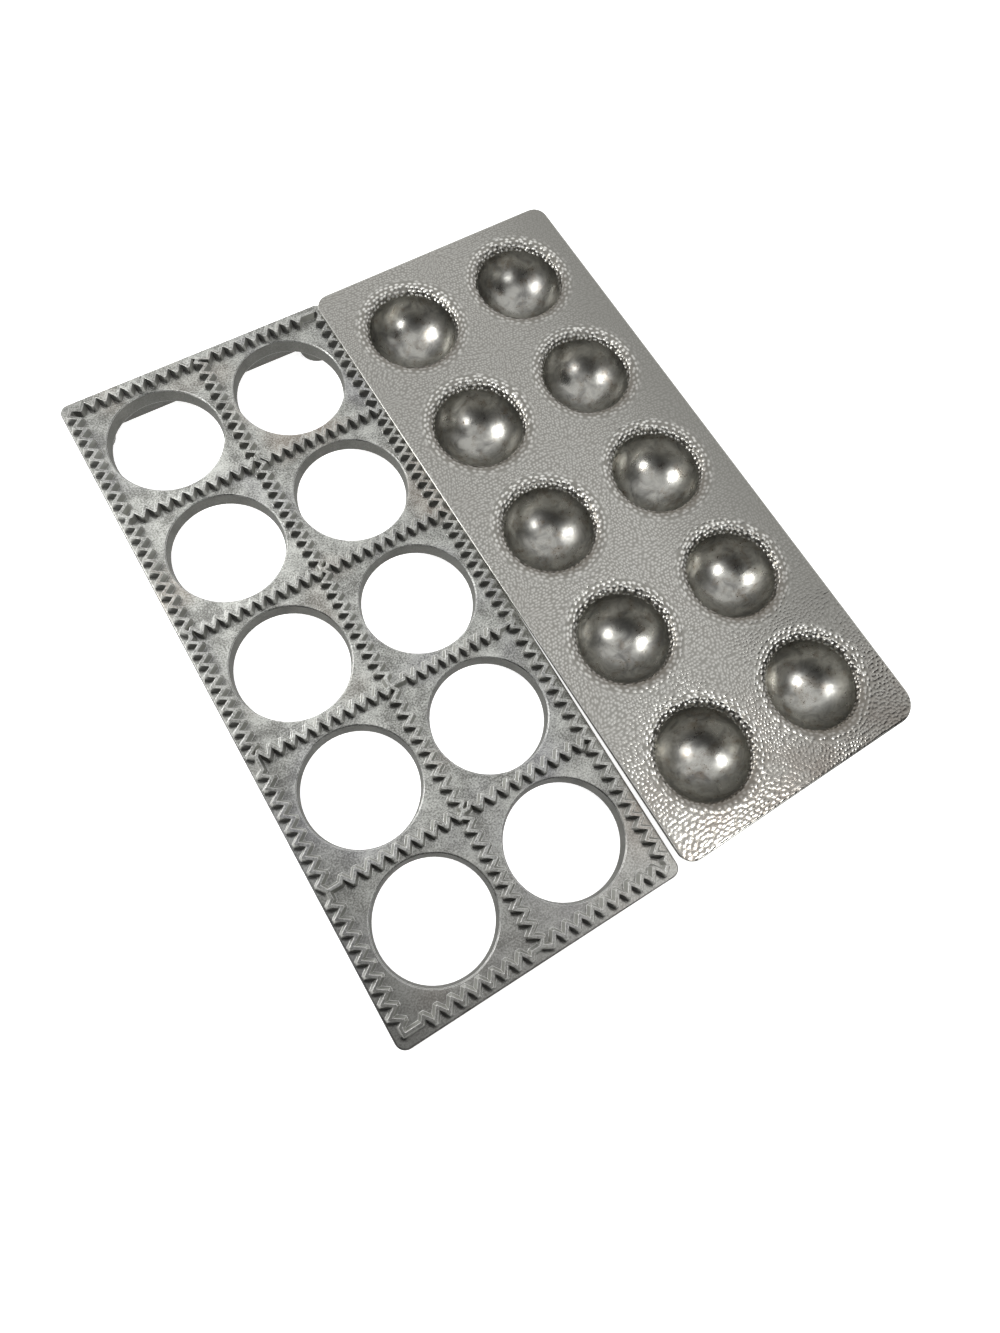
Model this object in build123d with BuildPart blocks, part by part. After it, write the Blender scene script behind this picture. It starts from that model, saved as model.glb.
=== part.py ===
"""Ravioli mold: a cast cutter frame with ten holes, and the pressed plate of ten cups that goes with it.

Millimetres, +Z up. The table is z = 0, and the origin is under the middle of the pair as it stands:
the cutter frame at -X, and the press plate beside it at +X, its long edge lying over the frame's ridge.
"""

from build123d import *
from math import atan, cos, degrees, radians, sin, sqrt, tan
import os

os.makedirs("parts", exist_ok=True)

# Cells: one round raviolo each
columns = 2
rows = 5
cell_x = 60.0
cell_y = 59.6

# Cutter frame casting
side_margin = 4.75          # outer ridge line to the long edges
end_margin = 5.65           # outer ridge line to the short edges
frame_corner = 4.5
frame_height = 18.0         # table to the face that the dough lies on
face_thickness = 6.6
face_edge_radius = 0.8
hole_radius = 25.2          # at the dough face
hole_draft = 8.0            # the holes narrow downwards
hole_edge = 0.4             # bevel round each hole's upper edge
hole_edge_slope = 45.0
skirt_thickness = 6.0       # at its lower rim
skirt_draft = 3.0           # outer faces lean in towards the table
skirt_clearance = 0.5       # the legs keep the skirt's rim off the table
pocket_draft = 1.5
pocket_corner = 3.0
leg_radius = 8.5

# Zigzag ridge
ridge_height = 3.2
crest_width = 1.2
ridge_draft = 18.5          # each flank from the vertical
tooth_reach = 2.05          # crest's centre line each side of the grid line
shortest_run = 0.24         # least distance from a junction to a tooth's corner, in tooth pitches
sharp_turn = 5.0            # outer corners that turn by less than twice this stay sharp
junction_sides = 8          # a small pyramid's foot fills the corners where stretches meet

# Press plate
plate_width = 128.5
plate_length = 307.5
plate_corner = 7.0
plate_worn_corner = 10.5    # the corner that is blunter than the rest
sheet = 1.2
sheet_edge_radius = 0.5
cup_radius = 20.7           # inside of the round bowl
cup_rim_radius = 4.0        # soft turn from the flat into the bowl

# How the pair stands
plate_yaw = 1.04
plate_shift_x = 127.2       # from the frame's centre to the plate's centre
plate_shift_y = 0.75
crest_gap = 0.2             # plate's underside to the ridge's crest

# Each stretch of ridge between two junctions: teeth, first tooth from the near or left junction, and last
# tooth from the far or right one. The teeth are uneven on the real casting, with straight stretches at some
# junctions. Long lines go from the near end to the far end, and cross lines from left to right.
long_lines = (
    ((9, 6.0, 6.5), (9, 2.0, 8.5), (11, 1.0, 4.5), (10, 1.5, 4.5), (10, 2.0, 4.5)),
    ((10, 4.0, 3.0), (10, 5.0, 1.5), (11, 6.5, 1.5), (11, 5.0, 1.0), (10, 5.0, 3.0)),
    ((10, 5.0, 0.0), (10, 0.0, 3.5), (11, 5.5, 1.0), (11, 6.0, 1.5), (9, 4.5, 6.5)),
)
cross_lines = (
    ((8, 10.5, 7.0), (10, 2.5, 4.0)),
    ((9, 8.5, 4.0), (10, 5.5, 0.0)),
    ((11, 3.0, 4.0), (9, 9.0, 10.0)),
    ((11, 3.0, 3.5), (11, 5.5, 1.0)),
    ((11, 4.5, 0.5), (11, 3.0, 3.0)),
    ((11, 2.5, 1.5), (9, 2.5, 12.0)),
)

# Sizes that follow
frame_width = columns * cell_x + 2 * side_margin
frame_length = rows * cell_y + 2 * end_margin
underside = frame_height - face_thickness
crest_z = frame_height + ridge_height
foot_half_width = crest_width / 2 + ridge_height * tan(radians(ridge_draft))
cup_depth = crest_z + crest_gap                 # the plate stands on its cups, just clear of the ridge
plate_z = cup_depth + sheet
bowl_drop = cup_depth - cup_radius              # bowl's centre below the plate's upper face
rim_circle = sqrt((cup_radius + cup_rim_radius) ** 2 - (cup_rim_radius - bowl_drop) ** 2)
rim_angle = degrees(atan((cup_rim_radius - bowl_drop) / rim_circle))

# The pair's box, which the origin is centred under
turn = radians(plate_yaw)
worn_x = plate_width / 2 - plate_worn_corner
worn_y = plate_length / 2 - plate_worn_corner
reach_x = worn_x * cos(turn) + worn_y * sin(turn) + plate_worn_corner
reach_y = (plate_length / 2 - plate_corner) * cos(turn) + (plate_width / 2 - plate_corner) * sin(turn)
pair_right = plate_shift_x + reach_x
pair_far = max(frame_length / 2, plate_shift_y + reach_y + plate_corner)
pair_near = min(-frame_length / 2, plate_shift_y - reach_y - plate_corner)
frame_x = -(pair_right - frame_width / 2) / 2
frame_y = -(pair_far + pair_near) / 2


def frame_plane(height):
    """A level plane of the cutter frame, centred on it."""
    return Plane((frame_x, frame_y, height))


def ridge_path(length, teeth, first, last):
    """Corners of a stretch's centre line, as (distance along, distance across)."""
    pitch = (length - first - last) / (teeth - 1)
    path = []
    for tooth in range(teeth):
        middle = first + tooth * pitch
        path += [(middle - pitch / 4, tooth_reach), (middle + pitch / 4, -tooth_reach)]
    path = [point for point in path if shortest_run * pitch < point[0] < length - shortest_run * pitch]
    if first - pitch / 2 > foot_half_width:
        path.insert(0, (first - pitch / 2, 0.0))
    if last - pitch / 2 > foot_half_width:
        path.append((length - last + pitch / 2, 0.0))
    return [(0.0, 0.0), *path, (length, 0.0)]


def ridge_side(path, half_width):
    """Left side of a path: inner corners are sharp, and outer corners are cut tangent to the width."""
    side = []
    for index, (x, y) in enumerate(path):
        before = Vector(*path[index]) - Vector(*path[index - 1]) if index else None
        after = Vector(*path[index + 1]) - Vector(*path[index]) if index + 1 < len(path) else None
        before = (before or after).normalized()
        after = (after or before).normalized()
        normal = (before + after).normalized().rotate(Axis.Z, 90)
        half_turn = radians(before.get_signed_angle(after, Vector(0, 0, 1)) / 2)
        if half_turn > -radians(sharp_turn):
            side.append(Vector(x, y) + normal * (half_width / cos(half_turn)))
            continue
        spread = half_width * (1 - cos(half_turn)) / sin(-half_turn)
        along = normal.rotate(Axis.Z, -90)
        for step in (-spread, spread):
            side.append(Vector(x, y) + normal * half_width + along * step)
    return side


def ridge_outline(path, half_width):
    """Closed outline of a ridge of the given half width about its path."""
    backwards = list(reversed(path))
    return [*ridge_side(path, half_width), *ridge_side(backwards, half_width)]


def ridge_stretch(start, direction, length, teeth, first, last):
    """One stretch of ridge, standing on the dough face from start."""
    across = direction.rotate(Axis.Z, 90) if direction.Y == 0 else direction.rotate(Axis.Z, -90)
    path = []
    for x, y in ridge_path(length, teeth, first, last):
        place = start + direction * x + across * y
        path.append((place.X, place.Y))
    with BuildPart() as stretch:
        for height, half_width in ((0.0, foot_half_width), (ridge_height, crest_width / 2)):
            with BuildSketch(frame_plane(frame_height + height)):
                with BuildLine():
                    Polyline(*ridge_outline(path, half_width), close=True)
                make_face()
        loft(ruled=True)
    return stretch.part


# Ridge stretches of the whole network, on the long lines and then on the cross lines
corner = Vector(-columns * cell_x / 2, -rows * cell_y / 2)
ridges = []
for column, line in enumerate(long_lines):
    for row, (teeth, first, last) in enumerate(line):
        start = corner + Vector(column * cell_x, row * cell_y)
        ridges.append(ridge_stretch(start, Vector(0, 1), cell_y, teeth, first, last))
for row, line in enumerate(cross_lines):
    for column, (teeth, first, last) in enumerate(line):
        start = corner + Vector(column * cell_x, row * cell_y)
        ridges.append(ridge_stretch(start, Vector(1, 0), cell_x, teeth, first, last))

# Cutter frame: plate, skirt and legs in one casting
leg_spacing_x = frame_width - 2 * leg_radius
leg_spacing_y = frame_length - 2 * leg_radius
with BuildPart() as cutter_frame:
    with BuildSketch(frame_plane(frame_height)):
        RectangleRounded(frame_width, frame_length, frame_corner)
    extrude(amount=-(frame_height - skirt_clearance), taper=skirt_draft)
    fillet(cutter_frame.faces().sort_by(Axis.Z)[-1].edges(), face_edge_radius)
    rim_set_in = (frame_height - skirt_clearance) * tan(radians(skirt_draft)) + skirt_thickness
    with BuildSketch(frame_plane(skirt_clearance)):
        RectangleRounded(frame_width - 2 * rim_set_in, frame_length - 2 * rim_set_in, pocket_corner)
    extrude(amount=underside - skirt_clearance, taper=pocket_draft, mode=Mode.SUBTRACT)
    with BuildSketch(frame_plane(0)):
        with GridLocations(leg_spacing_x, leg_spacing_y, 2, 2):
            Circle(leg_radius)
    extrude(amount=underside + face_thickness / 2)
    hole_cut = (hole_radius, face_thickness, hole_draft)
    edge_cut = (hole_radius + hole_edge, hole_edge, hole_edge_slope)
    for radius, depth, slope in (hole_cut, edge_cut):
        with BuildSketch(frame_plane(frame_height)):
            with GridLocations(cell_x, cell_y, columns, rows):
                Circle(radius)
        extrude(amount=-depth, taper=slope, mode=Mode.SUBTRACT)
    with BuildSketch(frame_plane(frame_height)):
        with GridLocations(cell_x, cell_y, columns + 1, rows + 1):
            RegularPolygon(foot_half_width, junction_sides, major_radius=False)
    extrude(amount=ridge_height, taper=ridge_draft)
    add(ridges)
cutter_frame.part.label = "cutter_frame"
export_step(cutter_frame.part, "parts/cutter_frame.step")

# One cup with the ring of flat sheet that it turns out of, its axis on Z and the sheet's upper face at z = 0
with BuildPart() as cup:
    with BuildSketch(Plane.XZ):
        with BuildLine():
            for radius, rim_radius in ((cup_radius, cup_rim_radius), (cup_radius + sheet, cup_rim_radius - sheet)):
                CenterArc((0, -bowl_drop), radius, -90, 90 - rim_angle)
                CenterArc((rim_circle, -cup_rim_radius), rim_radius, 90, 90 - rim_angle)
            Line((rim_circle, 0), (rim_circle, -sheet))
            Line((0, -cup_depth), (0, -cup_depth - sheet))
        make_face()
    revolve(axis=Axis.Z)

# Press plate: the flat sheet, with the cups let into it
plate_face = Plane(
    origin=(frame_x + plate_shift_x, frame_y + plate_shift_y, plate_z),
    x_dir=(cos(turn), sin(turn), 0),
    z_dir=(0, 0, 1),
)
with BuildPart() as press_plate:
    with BuildSketch(plate_face) as plate_outline:
        Rectangle(plate_width, plate_length)
        corners = plate_outline.vertices().sort_by(Axis.X)
        far_right = corners[2:].sort_by(Axis.Y)[-1]
        fillet([*corners[:2], far_right], plate_corner)
        near_right = plate_outline.vertices().sort_by(Axis.X)[-2:].sort_by(Axis.Y)[0]
        fillet(near_right, plate_worn_corner)
        with GridLocations(cell_x, cell_y, columns, rows):
            Circle(rim_circle, mode=Mode.SUBTRACT)
    extrude(amount=-sheet)
    outer_edges = press_plate.faces().sort_by(Axis.Z)[-1].outer_wire().edges()
    fillet(outer_edges, sheet_edge_radius)
    with Locations(plate_face):
        with GridLocations(cell_x, cell_y, columns, rows):
            add(cup.part)
press_plate.part.label = "press_plate"
export_step(press_plate.part, "parts/press_plate.step")
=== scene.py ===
"""Look of the ravioli mold: a tumbled aluminium casting, and a leather-grain sheet with polished cups.

Metres, +Z up, in the frame of the solids. Sizes that end in _mm, and pattern sizes, are in millimetres.
"""

import logging
import math
from dataclasses import dataclass
from enum import Enum
from functools import partial
from typing import Any

import bpy
import numpy as np
from mathutils import Euler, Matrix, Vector


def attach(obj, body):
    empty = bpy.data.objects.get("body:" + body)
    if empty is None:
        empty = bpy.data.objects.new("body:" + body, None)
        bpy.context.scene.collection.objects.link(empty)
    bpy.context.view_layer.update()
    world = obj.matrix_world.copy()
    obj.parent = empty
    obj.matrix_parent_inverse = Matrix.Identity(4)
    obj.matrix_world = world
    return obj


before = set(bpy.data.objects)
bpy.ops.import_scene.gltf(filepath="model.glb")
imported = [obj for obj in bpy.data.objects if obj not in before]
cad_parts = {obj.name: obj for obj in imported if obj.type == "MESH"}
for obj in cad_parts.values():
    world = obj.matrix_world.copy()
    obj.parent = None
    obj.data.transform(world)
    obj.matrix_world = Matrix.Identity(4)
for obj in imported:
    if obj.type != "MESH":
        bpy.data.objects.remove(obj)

LOG = logging.getLogger("ravioli_mold")
MM = 0.001
PER_MM = 1000.0


def linear(colour: str) -> tuple[float, float, float, float]:
    """Turns an sRGB hex colour into linear light.

    Args:
        colour: six hex digits after a hash sign.

    Returns:
        Linear red, green, blue and an alpha of 1.
    """
    shares = [int(colour[place : place + 2], 16) / 255 for place in (1, 3, 5)]
    light = [share / 12.92 if share <= 0.04045 else ((share + 0.055) / 1.055) ** 2.4 for share in shares]
    return (light[0], light[1], light[2], 1.0)


def add_node(
    tree: bpy.types.NodeTree,
    kind: str,
    inputs: dict[Any, Any] | None = None,
    output: int | str = 0,
    **settings: Any,
) -> bpy.types.NodeSocket | None:
    """Adds one node, with its settings, its constants and its links.

    Args:
        tree: the node tree to add it to.
        kind: the node's type, without the ShaderNode prefix.
        inputs: a constant or another node's output for each input, by name or number.
        output: which of the node's outputs is wanted, by name or number.
        settings: the node's own properties.

    Returns:
        The wanted output, or None for a node that has none.
    """
    node = tree.nodes.new("ShaderNode" + kind)
    for name, value in settings.items():
        setattr(node, name, value)
    for key, value in (inputs or {}).items():
        if isinstance(value, bpy.types.NodeSocket):
            tree.links.new(value, node.inputs[key])
        else:
            node.inputs[key].default_value = value
    return node.outputs[output] if node.outputs else None


def new_material(name: str) -> tuple[bpy.types.Material, partial]:
    """Makes an empty node material.

    Args:
        name: the material's name.

    Returns:
        The material, and the node adder bound to its tree.
    """
    material = bpy.data.materials.new(name)
    material.use_nodes = True
    material.node_tree.nodes.clear()
    return material, partial(add_node, material.node_tree)


def heading_vector(azimuth: float, elevation: float) -> Vector:
    """Points a unit vector.

    Args:
        azimuth: turn from +X about +Z, in radians.
        elevation: rise above the floor, in radians.

    Returns:
        The unit vector.
    """
    level = math.cos(elevation)
    return Vector((math.cos(azimuth) * level, math.sin(azimuth) * level, math.sin(elevation)))


def smooth(value: np.ndarray, low: float, high: float) -> np.ndarray:
    """Eases from 0 at low to 1 at high, and holds at the ends.

    Args:
        value: the numbers to map.
        low: where the result is 0; it may be the larger of the two.
        high: where the result is 1.

    Returns:
        The eased numbers.
    """
    share = np.clip((value - low) / (high - low), 0.0, 1.0)
    return share * share * (3.0 - 2.0 * share)


def wander(x: np.ndarray, y: np.ndarray, length: float, seed: int) -> np.ndarray:
    """Slow random drift over a plane, made of a few crossed waves.

    Args:
        x: first coordinate, in millimetres.
        y: second coordinate, in millimetres.
        length: length of the longest wave.
        seed: seed of the waves' directions and phases.

    Returns:
        The drift, from about -1 to 1.
    """
    waves, shortest, spread = 5, 0.55, 3.0
    chance = np.random.default_rng(seed)
    total = np.zeros_like(x)
    for _ in range(waves):
        heading, phase = chance.uniform(0, 2 * math.pi, 2)
        stretch = chance.uniform(shortest, 1.0) * length
        total += np.sin(2 * math.pi * (x * math.cos(heading) + y * math.sin(heading)) / stretch + phase)
    return total / spread


def pebbles(along: np.ndarray, across: np.ndarray, around: int, seed: int) -> np.ndarray:
    """Rounded pebbles on a staggered grid of unit cells, each a little out of place.

    Args:
        along: first coordinate, in cells.
        across: second coordinate, in cells.
        around: number of cells after which the first coordinate meets itself, or 0.
        seed: seed of the pebbles' places.

    Returns:
        Height of the pebbles, from 0 in the grooves to 1 on top.
    """
    count, jitter, size = 256, 0.28, 0.58
    scatter = np.random.default_rng(seed).uniform(-jitter, jitter, (count, count, 2))
    nearest = np.full(along.shape, 2.0)
    for row_step in (-1, 0, 1):
        row = np.floor(across) + row_step
        shifted = along - 0.5 * (row % 2)
        for step in (-1, 0, 1):
            column = np.floor(shifted) + step
            wrapped = column % around if around else column
            place = scatter[row.astype(int) % count, wrapped.astype(int) % count]
            gap = np.hypot(shifted - column - 0.5 - place[..., 0], across - row - 0.5 - place[..., 1])
            nearest = np.minimum(nearest, gap)
    return 0.5 + 0.5 * np.cos(math.pi * np.clip(nearest / size, 0.0, 1.0))


@dataclass(frozen=True)
class TumbledCasting:
    """Aluminium alloy, gravity cast and tumbled smooth.

    The eye sees a soft, speckled grey with a faint warm and cool drift, and thin bright lines on the rounded
    edges, from tumbling wear with a painted highlight that is weaker on the edges facing the room's dark
    side.
    The steep faces keep their duller cast skin. The strip outside the outer ridge carries painted shade, and
    the ridge's pockets beside the flanks facing the dark side carry near-black painted shade.
    """

    name: str = "tumbled_cast_aluminium"
    dark: str = "#7a7a76"
    light: str = "#cccdc8"
    warm: str = "#a58f7c"
    cool: str = "#8d8b9c"
    dull: str = "#73716e"
    # painted shade on the strip outside the outer ridge
    border_painted_shade: str = "#5c5c59"
    # rounded edges: tumbling wear and painted highlight
    worn: str = "#f2f2f0"
    skin: str = "#686864"
    flank: str = "#bdbdb8"
    # painted shade: near black, in the ridge's pockets on the dark side
    pocket_painted_shade: str = "#1c1b19"
    patch_mm: float = 7.0
    patch_share: float = 0.35  # the rest of the tone is speckle
    patch_span: tuple[float, float] = (0.35, 0.65)  # from the glossier patches to the duller ones
    tone_span: tuple[float, float] = (0.41, 0.59)
    speckle_mm: float = 0.75  # real grain is about 0.3 mm; drawn coarser so that it shows
    drift_mm: float = 38.0
    warm_span: tuple[float, float] = (0.55, 0.8)
    cool_span: tuple[float, float] = (0.45, 0.2)
    drift_share: float = 0.4
    pit_mm: float = 0.7
    pit_depth_mm: float = 0.05
    edge_round_mm: float = 0.28
    recess_mm: float = 3.4
    foot_mm: float = 2.0
    ridge_span_mm: tuple[float, float] = (17.9, 18.2)  # height where the cast skin gives way to the ridge
    dark_side_way: tuple[float, float, float] = (-0.707, -0.707, 0.0)  # flanks facing this way, towards the room's dark side, get painted shade in their pockets
    cross_way: tuple[float, float, float] = (0.707, -0.707, 0.0)
    # the pockets' painted shade: how squarely their flank faces the dark side, and how sheltered they are
    shade_facing_span: tuple[float, float] = (0.02, 0.12)
    shelter_span: tuple[float, float] = (0.98, 0.88)
    pocket_shade_share: float = 0.8
    dark_side_edge_share: float = 0.4  # share of the edges' bright colour, wear and painted highlight, that is left on edges facing the dark side
    dark_side_full: float = 0.25  # how squarely an edge faces the dark side when only that share is left
    wear_span: tuple[float, float] = (0.995, 0.94)
    steep_span: tuple[float, float] = (0.7, 0.25)  # upward part of the normal
    steep_share: float = 0.9
    dull_reach_mm: tuple[float, float] = (-60.0, -165.0)
    dull_share: float = 0.62
    border_mm: tuple[float, float] = (-104.0, -125.0)  # strip outside the outer ridge, darkened as painted shade
    border_share: float = 0.5
    roughness: tuple[float, float] = (0.36, 0.5)
    skin_roughness: float = 0.3

    def material(self) -> bpy.types.Material:
        """Builds the node material.

        Returns:
            The material.
        """
        material, add = new_material(self.name)
        place = add("TexCoord", output="Object")
        place = add("VectorMath", {0: place, "Scale": PER_MM}, operation="SCALE")
        patches = add("TexNoise", {"Vector": place, "Scale": 1 / self.patch_mm, "Detail": 3.0})
        speckle = add(
            "TexNoise", {"Vector": place, "Scale": 1 / self.speckle_mm, "Detail": 3.0, "Roughness": 0.65}
        )
        drift = add("TexNoise", {"Vector": place, "Scale": 1 / self.drift_mm, "Detail": 1.0})

        # Tumbled face: speckle over broad patches, with a drift of tint, duller towards the near end, and
        # with painted shade outside the outer ridge
        tone = add("Math", {0: patches, 1: self.patch_share}, operation="MULTIPLY")
        tone = add("Math", {0: speckle, 1: 1 - self.patch_share, 2: tone}, operation="MULTIPLY_ADD")
        tone = add("MapRange", {0: tone, 1: self.tone_span[0], 2: self.tone_span[1]})
        colour = add("Mix", {0: tone, 6: linear(self.dark), 7: linear(self.light)}, 2, data_type="RGBA")
        low, high = self.warm_span
        warm = add("MapRange", {0: drift, 1: low, 2: high, 3: 0.0, 4: self.drift_share})
        colour = add("Mix", {0: warm, 6: colour, 7: linear(self.warm)}, 2, data_type="RGBA")
        low, high = self.cool_span
        cool = add("MapRange", {0: drift, 1: low, 2: high, 3: 0.0, 4: self.drift_share})
        colour = add("Mix", {0: cool, 6: colour, 7: linear(self.cool)}, 2, data_type="RGBA")
        parts = add("SeparateXYZ", {0: place}).node.outputs
        far, near = self.dull_reach_mm
        dull = {0: parts["Y"], 1: far, 2: near, 3: 0.0, 4: self.dull_share}
        dull = add("MapRange", dull, interpolation_type="SMOOTHSTEP")
        colour = add("Mix", {0: dull, 6: colour, 7: linear(self.dull)}, 2, data_type="RGBA")
        # Painted shade on the strip outside the outer ridge
        inner, outer = self.border_mm
        border = add("MapRange", {0: parts["X"], 1: inner, 2: outer, 3: 0.0, 4: self.border_share})
        colour = add("Mix", {0: border, 6: colour, 7: linear(self.border_painted_shade)}, 2, data_type="RGBA")

        # Steep faces: cast skin below the dough face, and burnished flanks on the ridge
        flat = add("NewGeometry", output="Normal")
        up = add("SeparateXYZ", {0: flat}, "Z")
        up = add("Math", {0: up}, operation="ABSOLUTE")
        low, high = self.steep_span
        steep = {0: up, 1: low, 2: high, 3: 0.0, 4: self.steep_share}
        steep = add("MapRange", steep, interpolation_type="SMOOTHSTEP")
        on_ridge = add("MapRange", {0: parts["Z"], 1: self.ridge_span_mm[0], 2: self.ridge_span_mm[1]})
        flank = add("Mix", {0: on_ridge, 6: linear(self.skin), 7: linear(self.flank)}, 2, data_type="RGBA")
        colour = add("Mix", {0: steep, 6: colour, 7: flank}, 2, data_type="RGBA")

        # Rounded edges, bright from tumbling wear and a painted highlight; less bright, as painted shade, on
        # edges facing the room's dark side
        foot = add("Bevel", {"Radius": self.foot_mm * MM}, samples=8)
        dark_side_facing = add("VectorMath", {0: foot, 1: self.dark_side_way}, "Value", operation="DOT_PRODUCT")
        kept = add("MapRange", {0: dark_side_facing, 1: 0.0, 2: self.dark_side_full, 3: 1.0, 4: self.dark_side_edge_share})
        edges = add("Bevel", {"Radius": self.edge_round_mm * MM}, samples=6)
        turned = add("VectorMath", {0: edges, 1: flat}, "Value", operation="DOT_PRODUCT")
        worn = add("MapRange", {0: turned, 1: self.wear_span[0], 2: self.wear_span[1]})
        worn = add("Math", {0: worn, 1: kept}, operation="MULTIPLY")
        colour = add("Mix", {0: worn, 6: colour, 7: linear(self.worn)}, 2, data_type="RGBA")

        # Painted shade in the ridge's pockets, near black beside the flanks that squarely face the room's
        # dark side
        crossed = add("VectorMath", {0: foot, 1: self.cross_way}, "Value", operation="DOT_PRODUCT")
        crossed = add("Math", {0: crossed}, operation="ABSOLUTE")
        facing = add("Math", {0: dark_side_facing, 1: crossed}, operation="SUBTRACT")
        low, high = self.shade_facing_span
        pocket_shade = add("MapRange", {0: facing, 1: low, 2: high, 3: 0.0, 4: self.pocket_shade_share})
        shelter = add(
            "AmbientOcclusion", {"Distance": self.recess_mm * MM}, "AO", samples=8, only_local=True
        )
        shelter = add("MapRange", {0: shelter, 1: self.shelter_span[0], 2: self.shelter_span[1]})
        pocket_shade = add("Math", {0: pocket_shade, 1: shelter}, operation="MULTIPLY")
        colour = add("Mix", {0: pocket_shade, 6: colour, 7: linear(self.pocket_painted_shade)}, 2, data_type="RGBA")

        low, high = self.patch_span
        gloss = {0: patches, 1: low, 2: high, 3: self.roughness[0], 4: self.roughness[1]}
        gloss = add("MapRange", gloss)
        gloss = add("Math", {0: steep, 1: self.skin_roughness, 2: gloss}, operation="MULTIPLY_ADD")
        pits = add("TexNoise", {"Vector": place, "Scale": 1 / self.pit_mm, "Detail": 2.0})
        bump = add("Bump", {"Distance": self.pit_depth_mm * MM, "Height": pits, "Normal": edges})
        skin = add(
            "BsdfPrincipled", {"Base Color": colour, "Metallic": 1.0, "Roughness": gloss, "Normal": bump}
        )
        add("OutputMaterial", {0: skin})
        return material


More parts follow.
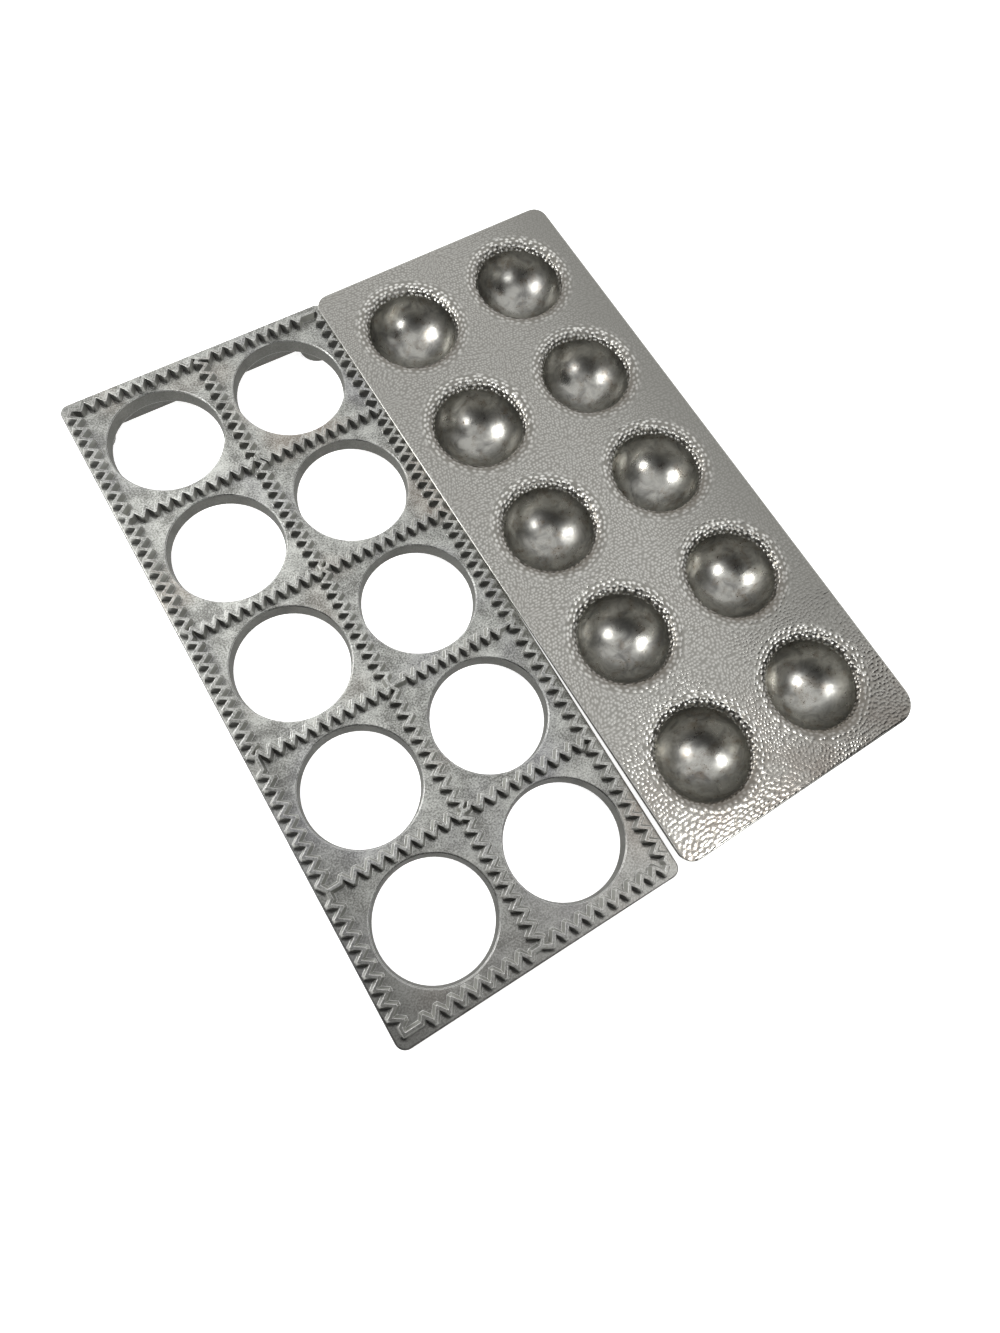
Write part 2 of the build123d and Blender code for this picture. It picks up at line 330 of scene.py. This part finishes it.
@dataclass(frozen=True)
class PolishedBowl:
    """Aluminium sheet whose cups are drawn, and polished by use.

    The eye sees smooth bowls with soft lights, faint rings, clouds of grey, brown stains and a few dark
    specks low down.
    """

    name: str = "drawn_polished_aluminium"
    sheet: str = "#b4b3ae"
    bowl: str = "#b8b7b1"
    cloud: str = "#83827f"
    stain: str = "#83786a"
    speck: str = "#2f2a25"
    lip: str = "#4a4945"
    cloud_mm: float = 8.0
    cloud_span: tuple[float, float] = (0.44, 0.68)
    cloud_twist: float = 0.8
    gloss_span: tuple[float, float] = (0.3, 0.7)
    stain_mm: float = 5.5
    stain_span: tuple[float, float] = (0.5, 0.68)
    stain_share: float = 0.65
    speck_mm: float = 0.8
    speck_span: tuple[float, float] = (0.66, 0.71)
    speck_stain: tuple[float, float] = (0.5, 0.6)  # the specks lie only in the browner stains
    ring_mm: float = 1.1  # real polishing rings are finer; drawn so that they show
    ring_depth_mm: float = 0.05
    ring_strength: float = 0.5
    lip_mm: float = 0.9  # darker ring just inside the bowl's edge
    lip_share: float = 0.3
    bowl_radius_mm: float = 20.52
    edge_mm: tuple[float, float] = (0.3, -0.1)  # past that radius: the sheet's end, the bowl's start
    roughness: tuple[float, float] = (0.25, 0.38)

    def material(
        self, centre_mm: tuple[float, float], yaw: float, cell_mm: tuple[float, float]
    ) -> bpy.types.Material:
        """Builds the node material.

        Args:
            centre_mm: the middle of the plate.
            yaw: the plate's turn about Z, in radians.
            cell_mm: the cups' spacing.

        Returns:
            The material.
        """
        material, add = new_material(self.name)
        place = add("TexCoord", output="Object")
        place = add("VectorMath", {0: place, "Scale": PER_MM}, operation="SCALE")
        place = add("VectorMath", {0: place, 1: (*centre_mm, 0.0)}, operation="SUBTRACT")
        place = add("VectorRotate", {"Vector": place, "Angle": -yaw}, rotation_type="Z_AXIS")
        parts = add("SeparateXYZ", {0: place}).node.outputs

        # Place within the nearest cup
        half_x, half_y = cell_mm[0] / 2, cell_mm[1] / 2
        across = add("Math", {0: parts["X"], 1: half_x}, operation="SUBTRACT")
        across = add("Math", {0: across, 1: half_x, 2: -half_x}, operation="WRAP")
        along = add("Math", {0: parts["Y"], 1: half_y, 2: -half_y}, operation="WRAP")
        local = add("CombineXYZ", {0: across, 1: along})
        reach = add("VectorMath", {0: local}, "Value", operation="LENGTH")
        sheet_end, bowl_start = (self.bowl_radius_mm + past for past in self.edge_mm)
        inside = add("MapRange", {0: reach, 1: sheet_end, 2: bowl_start})

        # Bowl: clouds, brown stains, specks and polishing rings
        clouds = {"Vector": place, "Scale": 1 / self.cloud_mm, "Detail": 4.0, "Roughness": 0.6}
        clouds = add("TexNoise", {**clouds, "Distortion": self.cloud_twist})
        cloudy = add("MapRange", {0: clouds, 1: self.cloud_span[0], 2: self.cloud_span[1]})
        bowl = add("Mix", {0: cloudy, 6: linear(self.bowl), 7: linear(self.cloud)}, 2, data_type="RGBA")
        brown = {"Vector": place, "Scale": 1 / self.stain_mm, "Detail": 5.0, "Roughness": 0.7}
        brown = add("TexNoise", brown)
        low, high = self.stain_span
        stained = add("MapRange", {0: brown, 1: low, 2: high, 3: 0.0, 4: self.stain_share})
        bowl = add("Mix", {0: stained, 6: bowl, 7: linear(self.stain)}, 2, data_type="RGBA")
        dots = add("TexNoise", {"Vector": place, "Scale": 1 / self.speck_mm, "Detail": 1.0})
        dots = add("MapRange", {0: dots, 1: self.speck_span[0], 2: self.speck_span[1]})
        sparse = add("MapRange", {0: brown, 1: self.speck_stain[0], 2: self.speck_stain[1]})
        dots = add("Math", {0: dots, 1: sparse}, operation="MULTIPLY")
        bowl = add("Mix", {0: dots, 6: bowl, 7: linear(self.speck)}, 2, data_type="RGBA")
        way = add("VectorMath", {0: local}, operation="NORMALIZE")
        rings = add("MapRange", {0: reach, 1: 0.0, 2: 1.0, 3: 0.0, 4: 1 / self.ring_mm}, clamp=False)
        rings = add("CombineXYZ", {2: rings})
        rings = add("VectorMath", {0: way, 1: rings})
        rings = add("TexNoise", {"Vector": rings, "Scale": 1.0, "Detail": 3.0, "Roughness": 0.6})
        start = self.bowl_radius_mm - self.lip_mm
        lip = add("MapRange", {0: reach, 1: start, 2: bowl_start, 3: 0.0, 4: self.lip_share})
        bowl = add("Mix", {0: lip, 6: bowl, 7: linear(self.lip)}, 2, data_type="RGBA")

        colour = add("Mix", {0: inside, 6: linear(self.sheet), 7: bowl}, 2, data_type="RGBA")
        low, high = self.gloss_span
        gloss = {0: clouds, 1: low, 2: high, 3: self.roughness[0], 4: self.roughness[1]}
        gloss = add("MapRange", gloss)
        bump = {"Strength": self.ring_strength, "Distance": self.ring_depth_mm * MM, "Height": rings}
        bump = add("Bump", bump)
        skin = add(
            "BsdfPrincipled", {"Base Color": colour, "Metallic": 1.0, "Roughness": gloss, "Normal": bump}
        )
        add("OutputMaterial", {0: skin})
        return material


@dataclass(frozen=True)
class LeatherGrain:
    """Aluminium sheet rolled with a leather grain, and rubbed by hands and dough.

    The eye sees small pebbles, with a painted highlight on their tops and painted shade in their grooves, a
    warmer, browner tint towards the near end and a duller tone along the outer side.
    """

    name: str = "leather_grain_aluminium_sheet"
    # pebbles: painted shade in the grooves, painted highlight on the tops
    groove_painted_shade: str = "#9e9d97"
    top: str = "#dcdbd6"
    # rims' beads: painted shade in the gaps, painted highlight on the beads
    gap: str = "#918f89"
    bead_highlight: str = "#f6f5f0"
    tint: str = "#8c8279"
    # painted shade on the near side of each cup's rim
    stain: str = "#6d675f"
    dull: str = "#85847f"
    tint_mm: float = 13.0
    tint_span: tuple[float, float] = (0.35, 0.65)
    tint_least: float = 0.35  # share of the tint where its clouds are thinnest
    near_mm: tuple[float, float] = (-98.0, -142.0)  # where the brown tint sets in and is full
    near_share: tuple[float, float] = (0.1, 0.62)
    outer_mm: tuple[float, float] = (60.0, 130.0)  # where the outer side's dulling sets in and is full
    outer_share: float = 0.75
    spared_mm: tuple[float, float] = (-140.0, -90.0)  # the near end is dulled less
    spared_share: float = 0.3
    farther_mm: tuple[float, float] = (-40.0, 80.0)
    farther_share: float = 0.3
    bead_span: tuple[float, float] = (0.15, 0.75)
    fleck_mm: float = 0.8
    fleck_depth_mm: float = 0.05
    roughness: tuple[float, float] = (0.26, 0.36)

    def material(self) -> bpy.types.Material:
        """Builds the node material, which reads the mesh's grain, rim and stain attributes.

        Returns:
            The material.
        """
        material, add = new_material(self.name)
        place = add("TexCoord", output="Object")
        place = add("VectorMath", {0: place, "Scale": PER_MM}, operation="SCALE")
        parts = add("SeparateXYZ", {0: place}).node.outputs
        grain = add("Attribute", output="Fac", attribute_name="grain")
        # Painted shade in the grooves and painted highlight on the pebbles' tops, by the grain's height
        colour = add("Mix", {0: grain, 6: linear(self.groove_painted_shade), 7: linear(self.top)}, 2, data_type="RGBA")

        # Handled and worn: browner near end, duller outer side and far end
        soft = add("TexNoise", {"Vector": place, "Scale": 1 / self.tint_mm, "Detail": 3.0})
        (start, end), (least, most) = self.near_mm, self.near_share
        near = add("MapRange", {0: parts["Y"], 1: start, 2: end, 3: least, 4: most})
        start, end = self.tint_span
        tinted = add("MapRange", {0: soft, 1: start, 2: end, 3: self.tint_least, 4: 1.0})
        tinted = add("Math", {0: tinted, 1: near}, operation="MULTIPLY")
        colour = add("Mix", {0: tinted, 6: colour, 7: linear(self.tint)}, 2, data_type="RGBA")
        start, end = self.outer_mm
        outer = {0: parts["X"], 1: start, 2: end, 3: 0.0, 4: self.outer_share}
        outer = add("MapRange", outer, interpolation_type="SMOOTHSTEP")
        start, end = self.spared_mm
        away = add("MapRange", {0: parts["Y"], 1: start, 2: end, 3: self.spared_share, 4: 1.0})
        outer = add("Math", {0: outer, 1: away}, operation="MULTIPLY")
        colour = add("Mix", {0: outer, 6: colour, 7: linear(self.dull)}, 2, data_type="RGBA")
        start, end = self.farther_mm
        farther = add("MapRange", {0: parts["Y"], 1: start, 2: end, 3: 0.0, 4: self.farther_share})
        colour = add("Mix", {0: farther, 6: colour, 7: linear(self.dull)}, 2, data_type="RGBA")

        # Cups' rims: beads with a painted highlight and painted shade in their gaps, brightest on the far
        # side, and painted shade on each rim's near side
        rim = add("Attribute", output="Fac", attribute_name="rim")
        beads = add("MapRange", {0: grain, 1: self.bead_span[0], 2: self.bead_span[1]})
        beads = add("Mix", {0: beads, 6: linear(self.gap), 7: linear(self.bead_highlight)}, 2, data_type="RGBA")
        colour = add("Mix", {0: rim, 6: colour, 7: beads}, 2, data_type="RGBA")
        # Painted shade on the near side of each cup's rim, in a brownish grey
        stain = add("Attribute", output="Fac", attribute_name="stain")
        colour = add("Mix", {0: stain, 6: colour, 7: linear(self.stain)}, 2, data_type="RGBA")

        gloss = add("MapRange", {0: rim, 1: 0.0, 2: 1.0, 3: self.roughness[0], 4: self.roughness[1]})
        flecks = add("TexNoise", {"Vector": place, "Scale": 1 / self.fleck_mm, "Detail": 2.0})
        bump = add("Bump", {"Distance": self.fleck_depth_mm * MM, "Height": flecks})
        skin = add(
            "BsdfPrincipled", {"Base Color": colour, "Metallic": 1.0, "Roughness": gloss, "Normal": bump}
        )
        add("OutputMaterial", {0: skin})
        return material


@dataclass
class CutterFrame:
    """The casting: the solid's own shape, dressed."""

    node: str = "cutter_frame"
    finish: TumbledCasting = TumbledCasting()

    def build(self) -> bpy.types.Object:
        """Puts the finish on the casting.

        Returns:
            The casting.
        """
        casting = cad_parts[self.node]
        casting.data.materials.clear()
        casting.data.materials.append(self.finish.material())
        return casting


class Seed(Enum):
    """Seeds of the random draws on the press plate."""

    ACROSS = 3
    ALONG = 4
    PEBBLES = 5
    CREASE = 6
    DEPTH = 7
    BEADS = 11  # the first cup's; each further cup adds one


@dataclass
class PressPlate:
    """The pressed sheet: its solid, dressed as polished bowls, and its upper face with the grain raised."""

    node: str = "press_plate"
    body: str = "press"
    slot: str = "pressed_aluminium"
    yaw: float = math.radians(1.04)
    centre_mm: tuple[float, float] = (62.5544, 0.3175)
    face_mm: float = 22.6
    size_mm: tuple[float, float] = (128.5, 307.5)
    corner_mm: float = 7.0
    worn_corner_mm: float = 10.5
    edge_mm: float = 0.35
    cell_mm: tuple[float, float] = (60.0, 59.6)
    columns: int = 2
    rows: int = 5
    rim_circle_mm: float = 24.478
    rim_radius_mm: float = 4.0
    rim_turn: float = math.radians(82.32)
    around: int = 560
    rim_rings: int = 18
    flat_rings: int = 36
    lift_mm: float = 0.09
    sink_mm: float = 0.06
    grain_mm: tuple[float, float] = (1.6, 1.25)  # pebble size at the near and the far end
    crease_mm: float = 3.0  # pebbles stretched along the near end's crease
    crease_y_mm: tuple[float, float] = (26.0, 6.0)  # from the near end: where it sets in and is full
    crease_x_mm: tuple[float, float] = (20.0, -25.0)
    drift_mm: float = 1.1  # how far the rows of pebbles wander
    drift_waves_mm: tuple[float, float] = (26.0, 31.0)  # across and along the plate
    depth_stops_mm: tuple[float, float, float] = (0.0, 60.0, 140.0)  # from the near end
    depths_mm: tuple[float, float, float, float] = (0.2, 0.19, 0.13, 0.1)  # at the stops and the far end
    depth_drift: float = 0.35
    depth_wave_mm: float = 40.0
    bead_fade_mm: tuple[float, float] = (10.5, 7.0)  # from the bowl's edge: no beads, only beads
    shine_fade_mm: tuple[float, float] = (8.5, 5.5)
    near_rim_shade_fade_mm: tuple[float, float] = (8.0, 3.0)
    near_rim_shade_share: float = 0.8
    far_turn: float = math.radians(15.0)  # the rims' beads are deepest, and their painted highlight brightest, this far before the +Y heading; their painted shade is strongest opposite
    bead_swing: float = 0.3  # half of what the beads lose on the opposite side
    bead_mm: float = 1.8
    beads_around: int = 56
    bead_depth_mm: float = 0.5
    bowl_fade_mm: float = 0.5  # the grain fades out over this strip at the bowl's edge
    side_fade_mm: float = 0.7  # and over this one at the sheet's sides
    bowl_finish: PolishedBowl = PolishedBowl()
    grain_finish: LeatherGrain = LeatherGrain()

    def reach(self, theta: np.ndarray, column: int, row: int) -> np.ndarray:
        """Distance from a cup's axis to the end of its share of the sheet.

        Args:
            theta: headings from the axis, in radians.
            column: the cup's column.
            row: the cup's row.

        Returns:
            The distance for each heading, in millimetres.
        """
        half = np.array(self.size_mm) / 2 - self.edge_mm
        middle = self.middle(column, row)
        way = np.stack([np.cos(theta), np.sin(theta)])
        far = np.full(theta.shape, np.inf)
        last = (self.columns - 1, self.rows - 1)
        for axis, (place, count) in enumerate(((column, last[0]), (row, last[1]))):
            for side, at_edge in ((-1, place == 0), (1, place == count)):
                limit = half[axis] - side * middle[axis] if at_edge else self.cell_mm[axis] / 2
                with np.errstate(divide="ignore"):
                    run = np.where(side * way[axis] > 1e-9, limit / (side * way[axis]), np.inf)
                far = np.minimum(far, run)
        if column in (0, last[0]) and row in (0, last[1]):
            worn = column == last[0] and row == 0
            radius = (self.worn_corner_mm if worn else self.corner_mm) - self.edge_mm
            side = np.array([1 if column else -1, 1 if row else -1])
            pivot = side * (half - radius) - middle
            along = way[0] * pivot[0] + way[1] * pivot[1]
            room = along**2 - (pivot @ pivot - radius**2)
            turned = along + np.sqrt(np.maximum(room, 0.0))
            spot = way * far
            outside = (side[0] * (spot[0] - pivot[0]) > 0) & (side[1] * (spot[1] - pivot[1]) > 0)
            far = np.where(outside, turned, far)
        return far

    def middle(self, column: int, row: int) -> np.ndarray:
        """Where a cup's axis is on the plate."""
        steps = (column - (self.columns - 1) / 2, row - (self.rows - 1) / 2)
        return np.array(steps) * self.cell_mm

    def relief(
        self, x: np.ndarray, y: np.ndarray, theta: np.ndarray, inward: np.ndarray, seed: int
    ) -> tuple[np.ndarray, np.ndarray, np.ndarray, np.ndarray]:
        """Grain of the sheet: pebbles on the flat, and rows of beads stretched round a cup's rim.

        Args:
            x: place across the plate, in millimetres.
            y: place along the plate.
            theta: heading from the cup's axis.
            inward: distance over the surface from the bowl's edge.
            seed: the cup's own seed.

        Returns:
            The grain from 0 to 1, its depth in millimetres, the share of the rim beads' painted highlight,
            and the share of painted shade on the rim's near side.
        """
        near = -self.size_mm[1] / 2
        size = np.interp(y, (near, -near), self.grain_mm)
        warp_x = x + self.drift_mm * wander(x, y, self.drift_waves_mm[0], Seed.ACROSS.value)
        warp_y = y + self.drift_mm * wander(x, y, self.drift_waves_mm[1], Seed.ALONG.value)
        slope = (self.grain_mm[1] - self.grain_mm[0]) / self.size_mm[1]
        rows = np.log(size / self.grain_mm[0]) / slope + (warp_y - y) / size
        flat = pebbles(warp_x / size, rows, 0, Seed.PEBBLES.value)
        creased = pebbles(warp_x / self.crease_mm, rows, 0, Seed.CREASE.value)
        start, end = (near + past for past in self.crease_y_mm)
        crease = smooth(y, start, end) * smooth(x, *self.crease_x_mm)
        flat = flat + (creased - flat) * crease
        turns = theta / (2 * math.pi) * self.beads_around
        beads = pebbles(turns, inward / self.bead_mm, self.beads_around, seed)
        rim = smooth(inward, *self.bead_fade_mm)
        grain = flat + (beads - flat) * rim
        stops = [near + stop for stop in self.depth_stops_mm] + [-near]
        depth = np.interp(y, stops, self.depths_mm)
        depth = depth * (1.0 + self.depth_drift * wander(x, y, self.depth_wave_mm, Seed.DEPTH.value))
        heading = np.sin(theta + self.far_turn)
        far_side = (1.0 - self.bead_swing) + self.bead_swing * heading
        depth = depth + (self.bead_depth_mm * far_side - depth) * rim
        # Painted shade on the near side of each rim, opposite its brightest beads
        near_rim_shade = self.near_rim_shade_share * smooth(inward, *self.near_rim_shade_fade_mm) * (0.5 - 0.5 * heading)
        return grain, depth, smooth(inward, *self.shine_fade_mm) * far_side, near_rim_shade

    def patch(self, column: int, row: int) -> tuple[np.ndarray, dict[str, np.ndarray]]:
        """Points of one cup's share of the grained face, ring by ring from the bowl's edge outwards.

        Args:
            column: the cup's column.
            row: the cup's row.

        Returns:
            The points on the plate in millimetres, and what the finish reads at each.
        """
        theta = np.arange(self.around) * (2 * math.pi / self.around)
        way = np.stack([np.cos(theta), np.sin(theta)], axis=-1)
        slant = np.linspace(self.rim_turn, 0.0, self.rim_rings)[:, None]
        outward = np.linspace(0.0, 1.0, self.flat_rings + 1)[1:, None]
        rim = self.rim_circle_mm - self.rim_radius_mm * np.sin(slant) * np.ones_like(theta)
        flat = self.rim_circle_mm + outward * (self.reach(theta, column, row) - self.rim_circle_mm)
        radius = np.concatenate([rim, flat])
        slant = np.concatenate([slant, np.zeros_like(outward)])
        inward = self.rim_radius_mm * (self.rim_turn - slant) + np.maximum(radius - self.rim_circle_mm, 0.0)
        place = self.middle(column, row) + radius[..., None] * way
        x, y = place[..., 0], place[..., 1]
        seed = Seed.BEADS.value + column + self.columns * row
        # the third is the share of the rims' painted highlight, the fourth the share of painted shade on
        # their near sides
        grain, depth, beads, near_rim_shade = self.relief(x, y, theta + 0 * x, inward, seed)
        half = np.array(self.size_mm) / 2 - self.edge_mm
        to_side = np.minimum(half[0] - np.abs(x), half[1] - np.abs(y))
        kept = smooth(inward, 0.0, self.bowl_fade_mm) * smooth(to_side, 0.0, self.side_fade_mm)
        rise = (self.lift_mm + self.sink_mm + depth * grain) * kept - self.sink_mm
        level = self.rim_radius_mm * (np.cos(slant) - 1.0)
        points = np.empty((*x.shape, 3))
        points[..., :2] = place - way * (np.sin(slant) * rise)[..., None]
        points[..., 2] = level + np.cos(slant) * rise
        # rim holds the painted highlight on the rims' beads, stain the painted shade on the rims' near sides
        return points, {"grain": grain, "rim": beads, "stain": near_rim_shade}

    def grained_face(self) -> bpy.types.Object:
        """Builds the upper face with its grain raised, a fraction of a millimetre over the solid's face.

        Returns:
            The grained face, which rides on the press plate's body.
        """
        points, faces, looks = [], [], []
        steps = np.arange(self.around)
        onward = np.roll(steps, -1)
        for column in range(self.columns):
            for row in range(self.rows):
                patch, look = self.patch(column, row)
                first = sum(len(block) for block in points)
                starts = first + np.arange(len(patch) - 1)[:, None] * self.around
                here, there = starts + steps, starts + onward
                quads = np.stack([here, here + self.around, there + self.around, there], -1)
                points.append(patch.reshape(-1, 3))
                looks.append(look)
                faces.append(quads.reshape(-1, 4))
        spots = np.concatenate(points)
        cos, sin = math.cos(self.yaw), math.sin(self.yaw)
        turned = spots.copy()
        turned[:, 0] = self.centre_mm[0] + cos * spots[:, 0] - sin * spots[:, 1]
        turned[:, 1] = self.centre_mm[1] + sin * spots[:, 0] + cos * spots[:, 1]
        turned[:, 2] += self.face_mm
        mesh = bpy.data.meshes.new("press_plate_grain")
        mesh.from_pydata((turned * MM).tolist(), [], np.concatenate(faces).tolist())
        for name in looks[0]:
            values = np.concatenate([look[name].reshape(-1) for look in looks])
            mesh.attributes.new(name, "FLOAT", "POINT").data.foreach_set("value", values)
        mesh.shade_smooth()
        mesh.materials.append(self.grain_finish.material())
        face = bpy.data.objects.new("press_plate_grain", mesh)
        bpy.context.scene.collection.objects.link(face)
        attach(face, self.body)
        return face

    def build(self) -> bpy.types.Object:
        """Puts the bowls' finish on the solid, and lays the grained face on it.

        Returns:
            The grained face.
        """
        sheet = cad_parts[self.node]
        sheet.data.materials.clear()
        sheet.data.materials.append(self.bowl_finish.material(self.centre_mm, self.yaw, self.cell_mm))
        return self.grained_face()


class Window(Enum):
    """The studio's two soft windows.

    Each holds its azimuth and elevation in degrees, its distance and edge in metres, and its watts. The
    places are fitted to the two highlights in each of the photograph's ten cups.
    """

    LEFT = (145.4, 37.8, 0.456, 0.2, 1.35)
    NEAR = (-66.0, 45.8, 0.354, 0.073, 0.25)

    def hang(self) -> bpy.types.Object:
        """Hangs the window so that it looks at the object.

        Returns:
            The lamp, which the camera doesn't see.
        """
        azimuth, elevation, distance, edge, power = self.value
        name = "window_" + self.name.lower()
        lamp = bpy.data.lights.new(name, "AREA")
        lamp.shape = "SQUARE"
        lamp.size = edge
        lamp.energy = power
        holder = bpy.data.objects.new(name, lamp)
        turn, rise = math.radians(azimuth), math.radians(elevation)
        way = heading_vector(turn, rise)
        holder.location = way * distance
        holder.rotation_euler = way.to_track_quat("Z", "Y").to_euler()
        holder.visible_camera = False
        bpy.context.scene.collection.objects.link(holder)
        return holder


@dataclass
class Studio:
    """A pale floor, a soft room, a dark side and two windows."""

    floor_size: float = 8.0
    floor_colour: str = "#f4f4f4"
    room_horizon: float = 1.0
    room_overhead: float = 0.85
    room_rise: tuple[float, float] = (0.4, 0.95)  # sine of the elevation between the two levels
    flag_azimuths: tuple[float, float] = (130.0, 342.0)
    flag_top: float = 60.0
    flag_distance: float = 1.6
    flag_colour: str = "#3c3c3c"
    flag_columns: int = 24
    flag_rows: int = 10
    seen_floor: float = 0.85  # glow for the camera and reflections only, so that the floor is white there

    def floor(self) -> bpy.types.Object:
        """Builds the floor, which is white to the camera and in reflections, and keeps the object's shadow.

        Returns:
            The floor.
        """
        half = self.floor_size / 2
        mesh = bpy.data.meshes.new("studio_floor")
        corners = [(-half, -half, 0.0), (half, -half, 0.0), (half, half, 0.0), (-half, half, 0.0)]
        mesh.from_pydata(corners, [], [(0, 1, 2, 3)])
        floor = bpy.data.objects.new("studio_floor", mesh)
        bpy.context.scene.collection.objects.link(floor)
        material, add = new_material("pale_floor")
        rays = add("LightPath").node.outputs
        seen = add("Math", {0: rays["Is Camera Ray"], 1: rays["Is Glossy Ray"]}, operation="MAXIMUM")
        seen = add("Math", {0: seen, 1: rays["Is Transmission Ray"]}, operation="MAXIMUM")
        matt = add("BsdfDiffuse", {"Color": linear(self.floor_colour)})
        glow = add("Emission", {"Color": (1.0, 1.0, 1.0, 1.0), "Strength": self.seen_floor})
        white = add("AddShader", {0: glow, 1: matt})
        both = add("MixShader", {0: seen, 1: matt, 2: white})
        add("OutputMaterial", {0: both})
        mesh.materials.append(material)
        return floor

    def room(self) -> bpy.types.World:
        """Sets the room's light: white at the horizon and dimmer overhead.

        Returns:
            The world that lights the scene.
        """
        world = bpy.data.worlds.new("soft_room")
        world.use_nodes = True
        world.node_tree.nodes.clear()
        add = partial(add_node, world.node_tree)
        heading = add("TexCoord", output="Generated")
        rise = add("SeparateXYZ", {0: heading}, "Z")
        low, high = self.room_rise
        level = {0: rise, 1: low, 2: high, 3: self.room_horizon, 4: self.room_overhead}
        level = add("MapRange", level, interpolation_type="SMOOTHSTEP")
        light = add("Background", {"Color": (1.0, 1.0, 1.0, 1.0), "Strength": level})
        add("OutputWorld", {0: light})
        bpy.context.scene.world = world
        return world

    def dark_side(self) -> bpy.types.Object:
        """Stands a dark curved flag on the photographer's side, where the camera doesn't see it.

        Returns:
            The flag.
        """
        first, last = (math.radians(angle) for angle in self.flag_azimuths)
        top = math.radians(self.flag_top)
        columns, rows = self.flag_columns, self.flag_rows
        points = []
        for row in range(rows + 1):
            rise = top * row / rows
            for column in range(columns + 1):
                turn = first + (last - first) * column / columns
                points.append(heading_vector(turn, rise) * self.flag_distance)
        width = columns + 1
        starts = [row * width + column for row in range(rows) for column in range(columns)]
        faces = [(start, start + 1, start + width + 1, start + width) for start in starts]
        mesh = bpy.data.meshes.new("dark_flag")
        mesh.from_pydata(points, [], faces)
        flag = bpy.data.objects.new("dark_flag", mesh)
        bpy.context.scene.collection.objects.link(flag)
        material, add = new_material("black_cloth")
        cloth = add("BsdfDiffuse", {"Color": linear(self.flag_colour)})
        add("OutputMaterial", {0: cloth})
        mesh.materials.append(material)
        flag.visible_camera = False
        return flag

    def build(self) -> None:
        """Builds the floor, the room, the dark side and the windows."""
        self.floor()
        self.room()
        self.dark_side()
        for window in Window:
            window.hang()


@dataclass
class PhotoCamera:
    """The photograph's camera, from the fit to the holes and edges."""

    place: tuple[float, float, float] = (-0.11145, -0.12439, 0.37245)
    turn: tuple[float, float, float] = (18.0223, -5.9863, -31.1896)
    lens: float = 23.87
    sensor: float = 36.0
    nearest: float = 0.01

    def build(self) -> bpy.types.Object:
        """Makes the camera and gives it to the scene.

        Returns:
            The camera.
        """
        lens = bpy.data.cameras.new("photo_camera")
        lens.lens = self.lens
        lens.sensor_width = self.sensor
        lens.clip_start = self.nearest
        camera = bpy.data.objects.new("photo_camera", lens)
        camera.location = self.place
        camera.rotation_euler = Euler([math.radians(angle) for angle in self.turn], "XYZ")
        bpy.context.scene.collection.objects.link(camera)
        bpy.context.scene.camera = camera
        return camera


def main() -> None:
    """Builds the scene."""
    logging.basicConfig(level=logging.INFO)
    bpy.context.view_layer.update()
    bpy.context.scene.view_settings.view_transform = "Standard"
    PhotoCamera().build()
    Studio().build()
    for piece in (CutterFrame(), PressPlate()):
        built = piece.build()
        LOG.info("%s: %s, %d faces", type(piece).__name__, built.name, len(built.data.polygons))


if __name__ == "__main__":
    main()
